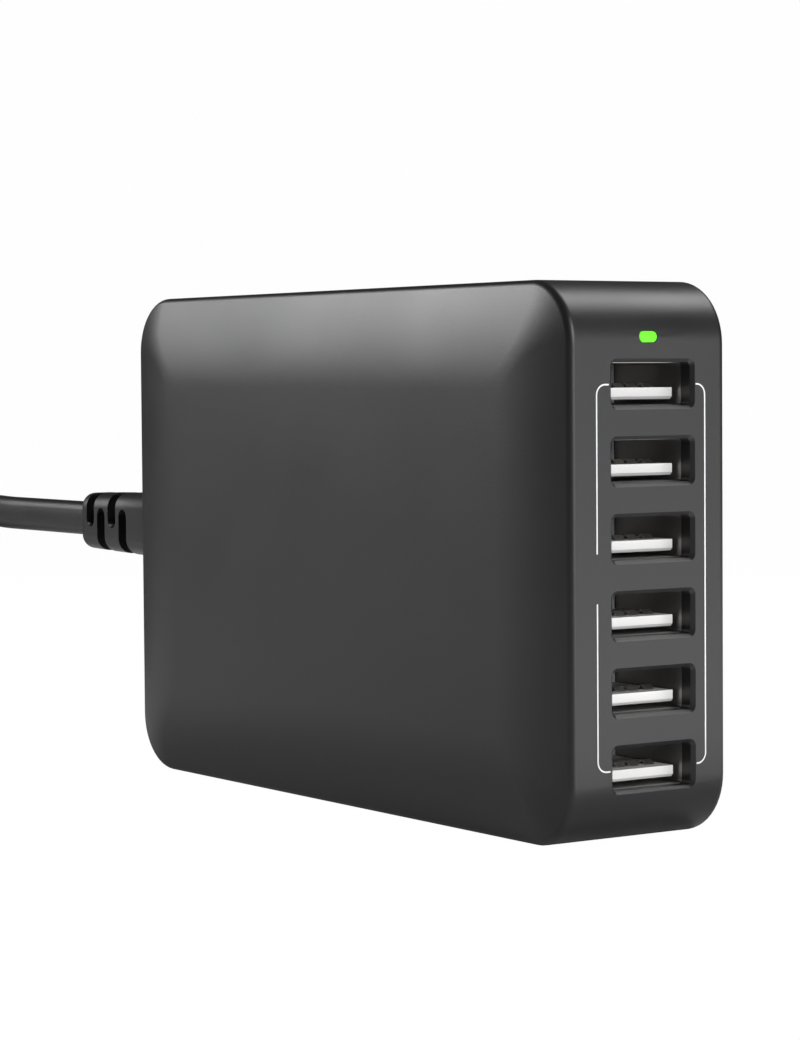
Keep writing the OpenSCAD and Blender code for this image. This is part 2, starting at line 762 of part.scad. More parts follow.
module connector_body() {
    nose_radius = lobe_radius - nose_gap;
    grip_y = y_rear + 0.3;
    shoulder_y = y_rear + grip_length;
    relief_y = shoulder_y + 3.6;
    tail_width = relief_width - 1.2;
    tail_thickness = relief_thickness - 0.8;
    tail_round = 2.2;
    grip_round = 4.8;
    relief_core = lead_width + 0.6;
    round_end = 1;
    color(cord_black) difference() {
        union() {
            along_y(y_rear - recess_depth + 0.5, recess_depth, 0, inlet_z) figure_eight(nose_radius);
            hull() {
                skin_plate(grip_y, grip_thickness - 1.6, grip_width - 1.6, grip_round - 0.8);
                skin_plate(grip_y + 0.8, grip_thickness, grip_width, grip_round);
                skin_plate(shoulder_y - 0.1, grip_thickness, grip_width, grip_round);
            }
            hull() {
                skin_plate(shoulder_y - 0.2, grip_thickness, grip_width, grip_round);
                skin_plate(relief_y, relief_thickness, relief_width, tail_round);
            }
            hull() {
                skin_plate(relief_y - 0.1, relief_thickness, relief_width, tail_round);
                for (x = [-1, 1], z = [-1, 1])
                    translate([x * (tail_thickness / 2 - tail_round), connector_end - tail_round,
                        inlet_z + z * (tail_width / 2 - tail_round)]) sphere(tail_round, $fn = 32);
            }
        }
        for (side = [-1, 1])
            along_y(y_rear - recess_depth - cut, recess_depth + 6, 0, inlet_z + side * pin_pitch / 2)
                circle(pin_radius + pin_gap + sleeve_wall + pin_gap);
        difference() {
            for (slot = [0:3]) on_side(-10, connector_end - relief_first - slot * relief_pitch, inlet_z)
                mirror([0, slot % 2]) linear_extrude(20)
                    translate([0, relief_slot / 2 - (slot % 2 ? 2.1 : 1)]) {
                        circle(relief_slot / 2);
                        translate([-relief_slot / 2, 0]) square([relief_slot, 10]);
                    }
            along_y(relief_y, connector_length, 0, inlet_z)
                rounded_rectangle(lead_thickness + 0.6, relief_core, round_end);
        }
    }
}

module connector_sleeves() {
    color(gold) for (side = [-1, 1])
        along_y(y_rear - recess_depth + 1, recess_depth + 3, 0, inlet_z + side * pin_pitch / 2)
            difference() {
                circle(pin_radius + pin_gap + sleeve_wall);
                circle(pin_radius + pin_gap);
            }
}

// Section of the flat lead: twelve points on a rectangle with round corners
function lead_section() = let (w = lead_thickness / 2, h = lead_width / 2, r = 1.3)
    [for (corner = [0:3]) for (step = [0:2])
        let (sx = (corner == 0 || corner == 3) ? 1 : -1, sy = corner < 2 ? 1 : -1)
            let (a = corner * 90 + step * 45) [sx * (w - r) + r * cos(a), sy * (h - r) + r * sin(a)]];
function unit(v) = v / norm(v);
function heading(p, i) = unit(p[min(i + 1, len(p) - 1)] - p[max(i - 1, 0)]);
function across(t) = unit([t[1], -t[0], 0]);
function ring(p, i) = let (t = heading(p, i), a = across(t), u = cross(a, t))
    [for (q = lead_section()) p[i] + q[0] * a + q[1] * u];

// Flat lead swept along a route
module lead_tube(route) {
    sides = len(lead_section());
    last = len(route) - 1;
    polyhedron(
        points = [for (i = [0:last]) each ring(route, i)],
        faces = [
            [for (k = [0:sides - 1]) k],
            for (i = [0:last - 1]) for (k = [0:sides - 1]) each [
                [i * sides + k, (i + 1) * sides + k, (i + 1) * sides + (k + 1) % sides],
                [i * sides + k, (i + 1) * sides + (k + 1) % sides, i * sides + (k + 1) % sides]],
            [for (k = [sides - 1:-1:0]) last * sides + k]]);
}

module stadium(radius, run) {
    square([2 * radius, run], center = true);
    for (end = [-1, 1]) translate([0, end * run / 2]) circle(radius);
}

module hank_block() {
    translate([hank_x, hank_y, hank_base]) linear_extrude(hank_top - hank_base)
        stadium(hank_outer_radius, hank_run);
}

module power_cord() {
    color(cord_black) difference() {
        lead_tube(lead_route);
        hank_block();
    }
}

module cord_coil() {
    color(cord_black) translate([hank_x, hank_y, hank_base])
        linear_extrude(hank_top - hank_base) difference() {
            stadium(hank_outer_radius, hank_run);
            stadium(hank_hole_radius, hank_run);
        }
}

module cord_tail() {
    color(cord_black) difference() {
        lead_tube(tail_route);
        hank_block();
    }
}

module cord_tie() {
    wide = hank_outer_radius - hank_hole_radius + 0.2;
    high = hank_top - hank_base + 0.2;
    color([0.15, 0.15, 0.15])
        along_y(hank_y - tie_width / 2, tie_width, hank_x - (hank_outer_radius + hank_hole_radius) / 2,
            (hank_top + hank_base) / 2) difference() {
                rounded_rectangle(wide + 2 * tie_thickness, high + 2 * tie_thickness, 1);
                square([wide, high], center = true);
            }
}

// Rounded plate standing across Y, for the mains plug's outer skin
module plug_plate(y, width, thickness, radius) {
    along_y(y, 0.1, plug_x, plug_z) rounded_rectangle(width, thickness, radius, $fn = 32);
}

blade_pitch = 12.7;
blade_width = 6.3;
blade_sheet = 1.5;
blade_length = 16;
blade_root = 8;

module mains_plug() {
    color(cord_black) difference() {
        union() {
            hull() {
                plug_plate(plug_y - relief_tail, lead_thickness + 4, lead_width + 3, 2.4);
                plug_plate(plug_y - 0.1, lead_thickness + 7, lead_width + 5, 3.5);
            }
            hull() {
                plug_plate(plug_y - 0.1, lead_thickness + 7, lead_width + 5, 3.5);
                plug_plate(plug_y + plug_length / 3, plug_width - 3, plug_thickness - 2, 4);
            }
            hull() {
                plug_plate(plug_y + plug_length / 3, plug_width - 3, plug_thickness - 2, 4);
                plug_plate(plug_y + plug_length - 2, plug_width, plug_thickness, 4);
                plug_plate(plug_y + plug_length - 0.1, plug_width - 2, plug_thickness - 2, 3);
            }
        }
        for (side = [-1, 1]) translate([plug_x + side * blade_pitch / 2 - blade_sheet / 2,
            plug_y + plug_length - blade_root, plug_z - blade_width / 2])
                cube([blade_sheet, blade_root + cut, blade_width]);
    }
}

module plug_blades() {
    color(gold) for (side = [-1, 1])
        on_side(plug_x + side * blade_pitch / 2 - blade_sheet / 2, plug_y + plug_length, plug_z)
            linear_extrude(blade_sheet) difference() {
                union() {
                    translate([-blade_root, -blade_width / 2])
                        square([blade_root + blade_length - 1.5, blade_width]);
                    translate([0, -blade_width / 2 + 1.5]) square([blade_length, blade_width - 3]);
                    for (edge = [-1, 1])
                        translate([blade_length - 1.5, edge * (blade_width / 2 - 1.5)]) circle(1.5);
                }
                translate([blade_length - 4, 0]) circle(1.6);
            }
}

case_shell();
side_cover();
indicator_lens();
bracket_print();
socket_shell(1);  // socket_shell_1
socket_shell(2);  // socket_shell_2
socket_shell(3);  // socket_shell_3
socket_shell(4);  // socket_shell_4
socket_shell(5);  // socket_shell_5
socket_shell(6);  // socket_shell_6
socket_tongue(1);  // socket_tongue_1
socket_tongue(2);  // socket_tongue_2
socket_tongue(3);  // socket_tongue_3
socket_tongue(4);  // socket_tongue_4
socket_tongue(5);  // socket_tongue_5
socket_tongue(6);  // socket_tongue_6
socket_contacts(1);  // socket_contacts_1
socket_contacts(2);  // socket_contacts_2
socket_contacts(3);  // socket_contacts_3
socket_contacts(4);  // socket_contacts_4
socket_contacts(5);  // socket_contacts_5
socket_contacts(6);  // socket_contacts_6
port_board();
main_board();
board_screws();
indicator_led();
charging_chips();
inlet_body();
inlet_pins();
inlet_straps();
fuse();
varistor();
x_capacitor();
choke_core();
choke_windings();
bulk_capacitors();
bridge_rectifier();
transformer_core();
transformer_bobbin();
transformer_winding();
primary_heat_sink();
switching_transistor();
y_capacitor();
optocoupler();
secondary_heat_sink();
output_rectifier();
output_capacitors();
output_choke();
connector_body();
connector_sleeves();
power_cord();
cord_coil();
cord_tail();
cord_tie();
mains_plug();
plug_blades();
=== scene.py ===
from math import cos, pi, radians, sin, sqrt

import bmesh
import bpy
from mathutils import Matrix, Vector


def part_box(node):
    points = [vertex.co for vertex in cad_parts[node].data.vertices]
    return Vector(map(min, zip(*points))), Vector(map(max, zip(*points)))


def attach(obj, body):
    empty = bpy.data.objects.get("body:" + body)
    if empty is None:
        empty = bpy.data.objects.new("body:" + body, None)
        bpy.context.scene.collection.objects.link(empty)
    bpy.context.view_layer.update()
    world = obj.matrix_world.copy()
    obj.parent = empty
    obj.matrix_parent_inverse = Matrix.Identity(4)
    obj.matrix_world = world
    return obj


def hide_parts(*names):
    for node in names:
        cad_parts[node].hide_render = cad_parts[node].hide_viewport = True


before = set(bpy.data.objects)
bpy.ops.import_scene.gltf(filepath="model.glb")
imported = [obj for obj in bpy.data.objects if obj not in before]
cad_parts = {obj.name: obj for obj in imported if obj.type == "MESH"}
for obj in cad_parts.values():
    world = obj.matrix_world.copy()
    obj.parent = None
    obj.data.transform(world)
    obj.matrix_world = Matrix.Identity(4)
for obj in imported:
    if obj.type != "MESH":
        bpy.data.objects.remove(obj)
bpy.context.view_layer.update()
scene = bpy.context.scene
scene.view_settings.view_transform = "Standard"
mm = 0.001

# Camera. It stands level with the top sockets and to the left of the front, and looks
# along the crowned side with a long lens. The picture is upright, 800 by 1040.
camera_place = Vector((-0.23283, -0.34474, 0.05814))
camera_aim = Vector((0.55723, 0.82901, -0.04728))
camera_roll = radians(-0.43)
camera_data = bpy.data.cameras.new("camera")
camera_data.lens = 104.36
camera_data.sensor_width = 36
camera_data.clip_start = 0.01
camera = bpy.data.objects.new("camera", camera_data)
camera.matrix_world = (Matrix.Translation(camera_place)
                       @ camera_aim.to_track_quat("-Z", "Y").to_matrix().to_4x4()
                       @ Matrix.Rotation(camera_roll, 4, "Z"))
scene.collection.objects.link(camera)
scene.camera = camera

# Mains lead. A flat two-core lead in smooth black jacket, 1.5 m long, moulded into the
# connector at one end and the plug at the other. It runs on edge, sinks to the table
# behind the charger and is folded into a hank of three layers, two turns to a layer.
lead_width = 5.4 * mm
lead_thickness = 3.4 * mm
lead_rounding = 1.3 * mm
lead_route = [
    (0, 88.8, 35.5), (0, 96, 35.5), (0, 104, 35.5), (0, 112, 35.5), (0, 121, 35.5), (0.5, 130, 35.5),
    (1, 137, 34), (2, 143.5, 30.5), (3.5, 149, 25.5), (4.5, 152.5, 19.5), (6, 156, 13.5), (7.5, 161.5, 8.5),
    (9, 168, 5.5), (10.5, 175, 4), (11.5, 182, 3.8), (12.2, 190, 3.8), (12.2, 199, 3.8)]
tail_route = [
    (-24.5, 199, 14.75), (-23.5, 192.8, 15), (-20.2, 187.8, 15.6), (-16, 184.6, 16.4), (-10.5, 182.7, 17.6),
    (-4.5, 182.9, 18.8), (1, 185.2, 19.7), (5.2, 189, 20.1), (7.8, 194, 20.25), (8.5, 200, 20.4),
    (7.6, 207, 20.8), (5.2, 214, 21.7), (2.2, 221, 23.2), (-1, 228, 24.6), (-3, 234, 25), (-3, 238, 25)]
hank_centre = Vector((-8, 225, 0)) * mm
hank_half_run = 26 * mm
hank_radii = {"inner": 16.5 * mm, "outer": 20.2 * mm}
hank_layers = [3.75 * mm, 9.25 * mm, 14.75 * mm]
# Where each turn starts and ends: radius, radius, layer, layer
hank_turns = [("outer", "inner", 0, 0), ("inner", "inner", 0, 1), ("inner", "outer", 1, 1),
              ("outer", "outer", 1, 2), ("outer", "inner", 2, 2), ("inner", "inner", 2, 2)]


def eased(t):
    """Runs from 0 to 1 with no jolt at either end."""
    return t * t * (3 - 2 * t)


def smooth_route(points, steps=4):
    """Points on a smooth curve through the given ones, in metres."""
    p = [Vector(q) * mm for q in points]
    made = []
    for i in range(len(p) - 1):
        a, b, c, d = p[max(i - 1, 0)], p[i], p[i + 1], p[min(i + 2, len(p) - 1)]
        for step in range(steps):
            t = step / steps
            made.append(b + (c - a) * t / 2 + (a * 2 - b * 5 + c * 4 - d) * t * t / 2
                        + (b * 3 - a - c * 3 + d) * t * t * t / 2)
    return made + [p[-1]]


def hank_point(side, angle, radius, height):
    """Point on a turn, at an angle round one end of the hank."""
    end = hank_centre + Vector((0, side * hank_half_run, height))
    return end + Vector((cos(angle), sin(angle), 0)) * radius


def hank_route():
    """Points along all turns: out along one side, round the far end, back and round again."""
    arc_steps, run_steps = 16, 6
    made = []
    for number, (start, end, low, high) in enumerate(hank_turns):
        r0, r1, z0, z1 = hank_radii[start], hank_radii[end], hank_layers[low], hank_layers[high]
        made += [hank_point(-1, 0, r0, z0).lerp(hank_point(1, 0, r0, z0), i / run_steps)
                 for i in range(1, run_steps)]
        made += [hank_point(1, pi * i / arc_steps, r0, z0) for i in range(arc_steps)]
        made += [hank_point(1, pi, r0, z0).lerp(hank_point(-1, pi, r0, z0), i / run_steps)
                 for i in range(run_steps)]
        if number < len(hank_turns) - 1:
            for i in range(arc_steps + 1):
                t = eased(i / arc_steps)
                made.append(hank_point(-1, pi + pi * i / arc_steps, r0 + (r1 - r0) * t, z0 + (z1 - z0) * t))
    return made


def outline(bm, place, width, height, radius, segments=8):
    """Edges of a rounded rectangle, drawn in place's X and Y."""
    corners = bmesh.ops.create_grid(bm, x_segments=1, y_segments=1, size=0.5,
                                    matrix=Matrix.Diagonal((width, height, 1, 1)))["verts"]
    rounded = bmesh.ops.bevel(bm, geom=corners, offset=radius, segments=segments, profile=0.5,
                              affect="VERTICES", material=-1)
    face = rounded["verts"][0].link_faces[0]
    edges = list(face.edges)
    bmesh.ops.transform(bm, matrix=place, verts=face.verts)
    bmesh.ops.delete(bm, geom=[face], context="FACES_ONLY")
    return edges


def swept(bm, places, width, height, radius, segments=4):
    """Rounded rectangle carried through a row of places and closed at both ends."""
    edges = outline(bm, places[0], width, height, radius, segments)
    bmesh.ops.contextual_create(bm, geom=edges)
    for before, after in zip(places, places[1:]):
        out = bmesh.ops.extrude_edge_only(bm, edges=edges)["geom"]
        edges = [e for e in out if isinstance(e, bmesh.types.BMEdge)]
        verts = [v for v in out if isinstance(v, bmesh.types.BMVert)]
        bmesh.ops.transform(bm, matrix=after @ before.inverted(), verts=verts)
        edges = [e for e in edges if all(v in verts for v in e.verts)]
    bmesh.ops.contextual_create(bm, geom=edges)


def in_order(bm):
    """Puts a bmesh's parts in an order that comes from their places alone, the same each run."""
    heading = Vector((1, 1.618, 2.718))
    bm.verts.sort(key=lambda vert: vert.co.dot(heading))
    bm.edges.sort(key=lambda edge: (edge.verts[0].co + edge.verts[1].co).dot(heading))
    bm.faces.sort(key=lambda face: face.calc_center_median().dot(heading))


def piece(bm, name, material, slot, *nodes, sharp=35):
    """Turns a bmesh into a piece of the charger that stands for the named CAD nodes."""
    bmesh.ops.recalc_face_normals(bm, faces=bm.faces)
    in_order(bm)
    mesh = bpy.data.meshes.new(name)
    bm.to_mesh(mesh)
    bm.free()
    made = bpy.data.objects.new(name, mesh)
    scene.collection.objects.link(made)
    mesh.materials.append(material)
    mesh.shade_smooth()
    mesh.set_sharp_from_angle(angle=radians(sharp))
    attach(made, "root")
    if nodes:
        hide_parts(*nodes)
    return made


def grain_group():
    """Fine moulded or sprayed grain: a height for a bump, and a value that varies slowly."""
    group = bpy.data.node_groups.new("grain", "ShaderNodeTree")
    group.interface.new_socket("Grain size", in_out="INPUT", socket_type="NodeSocketFloat")
    group.interface.new_socket("Height", in_out="OUTPUT", socket_type="NodeSocketFloat")
    group.interface.new_socket("Patches", in_out="OUTPUT", socket_type="NodeSocketFloat")
    start = group.nodes.new("NodeGroupInput")
    end = group.nodes.new("NodeGroupOutput")
    place = group.nodes.new("ShaderNodeTexCoord")
    scale = group.nodes.new("ShaderNodeMath")
    scale.operation = "DIVIDE"
    scale.inputs[0].default_value = 1
    fine = group.nodes.new("ShaderNodeTexNoise")
    fine.inputs["Detail"].default_value = 2
    broad = group.nodes.new("ShaderNodeTexNoise")
    broad.inputs["Scale"].default_value = 60
    broad.inputs["Detail"].default_value = 4
    link = group.links.new
    link(start.outputs["Grain size"], scale.inputs[1])
    link(scale.outputs[0], fine.inputs["Scale"])
    link(place.outputs["Object"], fine.inputs["Vector"])
    link(place.outputs["Object"], broad.inputs["Vector"])
    link(fine.outputs["Fac"], end.inputs["Height"])
    link(broad.outputs["Fac"], end.inputs["Patches"])
    return group


grain = grain_group()


def finish_of(name, colour, rough, grain_size=0.0003, relief=0.00001, rough_change=0.06, colour_change=0.08,
              metallic=0.0, specular=0.5):
    """Material with a fine grain, whose colour and gloss vary a little in soft patches."""
    material = bpy.data.materials.new(name)
    material.use_nodes = True
    nodes, link = material.node_tree.nodes, material.node_tree.links.new
    shader = nodes["Principled BSDF"]
    shader.inputs["Metallic"].default_value = metallic
    shader.inputs["Specular IOR Level"].default_value = specular
    surface = nodes.new("ShaderNodeGroup")
    surface.node_tree = grain
    surface.inputs["Grain size"].default_value = grain_size
    gloss = nodes.new("ShaderNodeMapRange")
    gloss.inputs["To Min"].default_value = rough - rough_change
    gloss.inputs["To Max"].default_value = rough + rough_change
    shade = nodes.new("ShaderNodeMix")
    shade.data_type = "RGBA"
    shade.inputs["A"].default_value = (*[c * (1 - colour_change) for c in colour], 1)
    shade.inputs["B"].default_value = (*[c * (1 + colour_change) for c in colour], 1)
    bump = nodes.new("ShaderNodeBump")
    bump.inputs["Distance"].default_value = relief
    link(surface.outputs["Patches"], gloss.inputs["Value"])
    link(surface.outputs["Patches"], shade.inputs["Factor"])
    link(surface.outputs["Height"], bump.inputs["Height"])
    link(gloss.outputs["Result"], shader.inputs["Roughness"])
    link(shade.outputs["Result"], shader.inputs["Base Color"])
    link(bump.outputs["Normal"], shader.inputs["Normal"])
    return material


jacket_black = finish_of("jacket_black", (0.012, 0.012, 0.0125), 0.36, grain_size=0.0005, relief=0.00002)
lead_path = smooth_route(lead_route) + hank_route() + smooth_route(tail_route)


def lead_places(path):
    """One place per point: X across the lead's thickness, Y across its width, Z along it."""
    places = []
    for i, point in enumerate(path):
        along = (path[min(i + 1, len(path) - 1)] - path[max(i - 1, 0)]).normalized()
        across = Vector((along.y, -along.x, 0)).normalized()
        turn = Matrix((across, along.cross(across), along)).transposed()
        places.append(Matrix.Translation(point) @ turn.to_4x4())
    return places


bm = bmesh.new()
swept(bm, lead_places(lead_path), lead_thickness, lead_width, lead_rounding)
lead = piece(bm, "mains_lead", jacket_black, "cord_black", "power_cord", "cord_coil", "cord_tail")

# Mains plug at the lead's far end. One moulding in the lead's own black, with two flat
# nickel-plated blades. It lies on top of the hank.
plug_centre = Vector((-3, 0, 25)) * mm
# Place along Y, width, thickness and corner radius of the plug's sections
plug_sections = [
    (238, 6.4, 7.4, 2.4), (238.6, 7.4, 8.4, 2.6), (257.9, 10.4, 10.4, 3.5), (260.5, 13.4, 11.2, 4.2),
    (263.5, 19.4, 12.4, 4.2), (266, 23, 13, 4), (270, 24.4, 13.8, 4), (280, 26, 15, 4),
    (281.2, 25.4, 14.4, 3.8), (282, 23.8, 12.8, 3)]


def facing_y(centre, y):
    """Place whose X and Y are the frame's X and Z, at a distance along Y."""
    return Matrix(((1, 0, 0, centre.x), (0, 0, 1, y), (0, 1, 0, centre.z), (0, 0, 0, 1)))


def lofted(bm, loops):
    """Skin over a row of outlines, closed at both ends."""
    for before, after in zip(loops, loops[1:]):
        bmesh.ops.bridge_loops(bm, edges=before + after)
    bmesh.ops.contextual_create(bm, geom=loops[0])
    bmesh.ops.contextual_create(bm, geom=loops[-1])


bm = bmesh.new()
lofted(bm, [outline(bm, facing_y(plug_centre, y * mm), w * mm, t * mm, r * mm)
            for y, w, t, r in plug_sections])
plug = piece(bm, "plug_body", jacket_black, "cord_black", "mains_plug")

# Strap round the hank. Woven hook-and-loop tape, wrapped once round the lead and pressed
# onto itself. Its outer edges are slightly rounded.
tie_start, tie_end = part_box("cord_tie")
tie_middle = (tie_start + tie_end) / 2
tie_size = tie_end - tie_start
tie_thickness = 0.9 * mm
tie_bend = 1.2 * mm
tie_edge = 0.15 * mm
tie_edge_width = 0.2 * mm
tie_cloth = finish_of("tie_cloth", (0.02, 0.02, 0.021), 0.9, grain_size=0.0006, relief=0.0002, specular=0.2)
bm = bmesh.new()
loops = []
for y, inset in ((tie_start.y, tie_edge), (tie_start.y + tie_edge_width, 0), (tie_end.y - tie_edge_width, 0),
                 (tie_end.y, tie_edge), (tie_end.y, tie_thickness), (tie_start.y, tie_thickness)):
    loops.append(outline(bm, facing_y(tie_middle, y), tie_size.x - 2 * inset, tie_size.z - 2 * inset,
                         tie_bend - inset))
for before, after in zip(loops, loops[1:] + loops[:1]):
    bmesh.ops.bridge_loops(bm, edges=before + after)
tie = piece(bm, "hank_strap", tie_cloth, "tie_black", "cord_tie")

# Connector in the rear inlet. Moulded with the lead: a grip, a shoulder and a strain
# relief whose slots open from above and below by turns, so that it can bend.
inlet_z = 35.5 * mm
connector_centre = Vector((0, 0, inlet_z - 0.15 * mm))
# Place along Y, thickness, width and corner radius of the connector's sections
connector_sections = [
    (53.8, 8.3, 15, 4), (54.1, 9.1, 15.8, 4.4), (54.6, 9.9, 16.6, 4.8), (62.1, 9.9, 16.6, 4.8),
    (62.7, 9.6, 15.6, 4.4), (63.6, 9, 13.2, 3.6), (64.6, 8.5, 11.3, 2.9), (65.7, 8.05, 10.1, 2.5),
    (76, 7.65, 9.6, 2.4), (88.1, 7.2, 9, 2.3), (88.4, 7.12, 8.9, 2.25), (88.65, 6.9, 8.65, 2.1),
    (88.78, 6.5, 8.2, 1.9), (88.8, 6.2, 7.9, 1.8)]
slot_count = 4
slot_first = 85.65 * mm
slot_pitch = 3.68 * mm
slot_width = 2.6 * mm
# Lower and upper end of a slot that opens above and of one that opens below
slot_ends = [(-1 * mm, 10 * mm), (-10 * mm, 2.1 * mm)]
relief_core_wall = 0.3 * mm
relief_core_ends = (66, 87.5)
nose_ends = (43, 54)
nose_lobe = 7.4 * mm
nose_lobe_rise = 4.3 * mm
nose_web_width = 5.5 * mm
nose_web_ends = (43.1, 54.1)


def facing_x(x, y, z):
    """Place whose X and Y are the frame's Y and Z."""
    return Matrix(((0, 0, 1, x), (1, 0, 0, y), (0, 1, 0, z), (0, 0, 0, 1)))


def cut(made, cutter, operation="DIFFERENCE"):
    """Cuts one piece with another, which then goes."""
    step = made.modifiers.new("cut", "BOOLEAN")
    step.object = cutter
    step.operation = operation
    step.solver = "EXACT"
    step.use_self = True
    mesh = bpy.data.meshes.new_from_object(made.evaluated_get(bpy.context.evaluated_depsgraph_get()))
    made.modifiers.clear()
    made.data = mesh
    bpy.data.objects.remove(cutter)


def tool(bm):
    """A bmesh as an object to cut with."""
    bmesh.ops.recalc_face_normals(bm, faces=bm.faces)
    mesh = bpy.data.meshes.new("tool")
    bm.to_mesh(mesh)
    bm.free()
    made = bpy.data.objects.new("tool", mesh)
    scene.collection.objects.link(made)
    return made


def rounded_edges(made, width, segments=2, angle=35):
    """Small round on every edge sharper than the angle."""
    step = made.modifiers.new("edges", "BEVEL")
    step.width = width
    step.segments = segments
    step.limit_method = "ANGLE"
    step.angle_limit = radians(angle)
    step.harden_normals = True


bm = bmesh.new()
lofted(bm, [outline(bm, facing_y(connector_centre, y * mm), t * mm, w * mm, r * mm)
            for y, t, w, r in connector_sections])
connector = piece(bm, "connector_shell", jacket_black, "cord_black", "connector_body")

# The slots are cut right through. The core round the lead, and the two lobes with the web
# between them that go into the inlet, are then joined on.
bm = bmesh.new()
for number in range(slot_count):
    y = slot_first - number * slot_pitch
    low, high = slot_ends[number % 2]
    slot_z = inlet_z + (low + high) / 2
    lofted(bm, [outline(bm, facing_x(x, y, slot_z), slot_width, high - low, slot_width * 0.4995, 6)
                for x in (-8 * mm, 8 * mm)])
cut(connector, tool(bm))
bm = bmesh.new()
lofted(bm, [outline(bm, facing_y(connector_centre, y * mm), lead_thickness + 2 * relief_core_wall,
                    lead_width + 2 * relief_core_wall, mm)
            for y in relief_core_ends])
for side in (-1, 1):
    lobe = connector_centre + Vector((0, 0, side * nose_lobe_rise))
    lofted(bm, [outline(bm, facing_y(lobe, y * mm), nose_lobe, nose_lobe, nose_lobe / 2 - 0.01 * mm, 6)
                for y in nose_ends])
lofted(bm, [outline(bm, facing_y(connector_centre, y * mm), nose_web_width, 2 * nose_lobe_rise, 0.2 * mm, 2)
            for y in nose_web_ends])
cut(connector, tool(bm), "UNION")
connector.data.shade_smooth()
connector.data.set_sharp_from_angle(angle=radians(35))
rounded_edges(connector, 0.12 * mm)

# Case. One moulding in dark satin plastic: two crowned large sides, narrow faces that
# run round corners, and an opening on the far side for the cover. The six socket holes,
# the indicator's hole and the inlet's hole go through its walls.
case_length = 107 * mm
case_height = 70 * mm
case_half = 14 * mm
corner_radius = 8 * mm
border_width = 13.2 * mm
border_drop = 1.95 * mm
border_arc = (border_width ** 2 + border_drop ** 2) / (2 * border_drop)
edge_fillet = 1.1 * mm
fillet_steps = 8
band_half = 6 * mm
seam_inset = 4 * mm
seam_edge = 0.12 * mm
x_seat = 10.66 * mm
ledge_width = 1.4 * mm
ledge_thickness = 1.6 * mm
wall = 2.2 * mm
# Where the inside's wall ends above, where it turns below, and its floor
x_wall_top, x_wall_bottom, x_floor = 9 * mm, -10.5 * mm, -11.8 * mm
y_front = -case_length / 2


def crown(inset):
    """Half thickness of the case at a distance in from its outline, inside the fillet."""
    return case_half - border_arc + sqrt(border_arc ** 2 - max(border_width - inset, 0) ** 2)


def corner_at(inset):
    """Corner radius of the outline set in from the case's own: it stays round on the crown."""
    full_round = 3 * mm
    past = max(inset - full_round, 0)
    return corner_radius - inset + 0.75 * past ** 2 / (border_width - full_round)


def side_outline(bm, inset, x, radius=None):
    """Outline of the case's side, set in from the rim, at a distance across the thickness."""
    return outline(bm, facing_x(x, 0, case_height / 2), case_length - 2 * inset, case_height - 2 * inset,
                   corner_at(inset) if radius is None else radius, 14)


def crown_profile(start, steps=10):
    """Pairs of inset and half thickness from the middle of a crowned side out to start."""
    insets = [border_width - (border_width - start) * i / steps for i in range(steps + 1)]
    return [(inset, crown(inset)) for inset in insets]


fillet_lean = (border_width - edge_fillet) / (border_arc - edge_fillet)
fillet_height = case_half - border_arc
fillet_height += sqrt((border_arc - edge_fillet) ** 2 - (border_width - edge_fillet) ** 2)
fillet_start = edge_fillet * (1 - fillet_lean)
fillet = []
for i in range(1, fillet_steps + 1):
    angle = (pi / 2 + fillet_lean) + (pi / 2 - fillet_lean) * i / fillet_steps
    fillet.append((edge_fillet + edge_fillet * cos(angle), fillet_height + edge_fillet * sin(angle)))
case_black = finish_of("case_black", (0.01, 0.0099, 0.0112), 0.38, grain_size=0.00022, relief=0.000012)

# The moulding's profile, as pairs of inset and place across the thickness. It runs from the
# crowned side over both fillets to the seam, down to the cover's seat and round the inside.
profile = [(inset, -x) for inset, x in crown_profile(fillet_start) + fillet]
profile += [(0, -band_half), (0, band_half)]
profile += list(reversed(fillet)) + [(fillet_start, crown(fillet_start))]
rim = [(seam_inset * i / 4 + fillet_start * (1 - i / 4)) for i in range(1, 4)]
profile += [(inset, crown(inset)) for inset in rim]
profile += [(seam_inset - seam_edge, crown(seam_inset)), (seam_inset, crown(seam_inset) - seam_edge),
            (seam_inset, x_seat), (seam_inset + ledge_width, x_seat - 0.01 * mm),
            (seam_inset + ledge_width, x_seat - ledge_thickness),
            (wall, x_wall_top), (wall, x_wall_bottom), (border_width, x_floor)]
bm = bmesh.new()
lofted(bm, [side_outline(bm, inset, x) for inset, x in profile])
case = piece(bm, "case", case_black, "case_plastic", "case_shell")

# The holes: six chamfered socket mouths and the indicator's slot in front, the inlet's behind
socket_x = 0.65 * mm
socket_heights = [(9.6 + 9.5 * i) * mm for i in range(6)]
hole_width = 12.4 * mm
hole_height = 5.34 * mm
hole_radius = 0.5 * mm
chamfer = 0.46 * mm
through_wall = 4 * mm
indicator_centre = Vector((0, 0, 62.9 * mm))
indicator_hole = (2.85 * mm, 1.5 * mm, 0.74 * mm)
inlet_hole = (10.8 * mm, 19.4 * mm, 0.2 * mm)
bm = bmesh.new()
for z in socket_heights:
    centre = Vector((socket_x, 0, z))
    lofted(bm, [outline(bm, facing_y(centre, y_front + depth), hole_width + 2 * extra,
                        hole_height + 2 * extra, hole_radius + extra)
                for depth, extra in ((-mm, chamfer + mm), (chamfer, 0), (through_wall, 0))])
lofted(bm, [outline(bm, facing_y(indicator_centre, y_front + depth), *indicator_hole)
            for depth in (-mm, through_wall)])
cut(case, tool(bm))
bm = bmesh.new()
lofted(bm, [outline(bm, facing_y(connector_centre, y * mm), *inlet_hole, 2) for y in (50, 56)])
cut(case, tool(bm))
case.data.shade_smooth()
case.data.set_sharp_from_angle(angle=radians(30))
even = case.modifiers.new("even", "WEIGHTED_NORMAL")
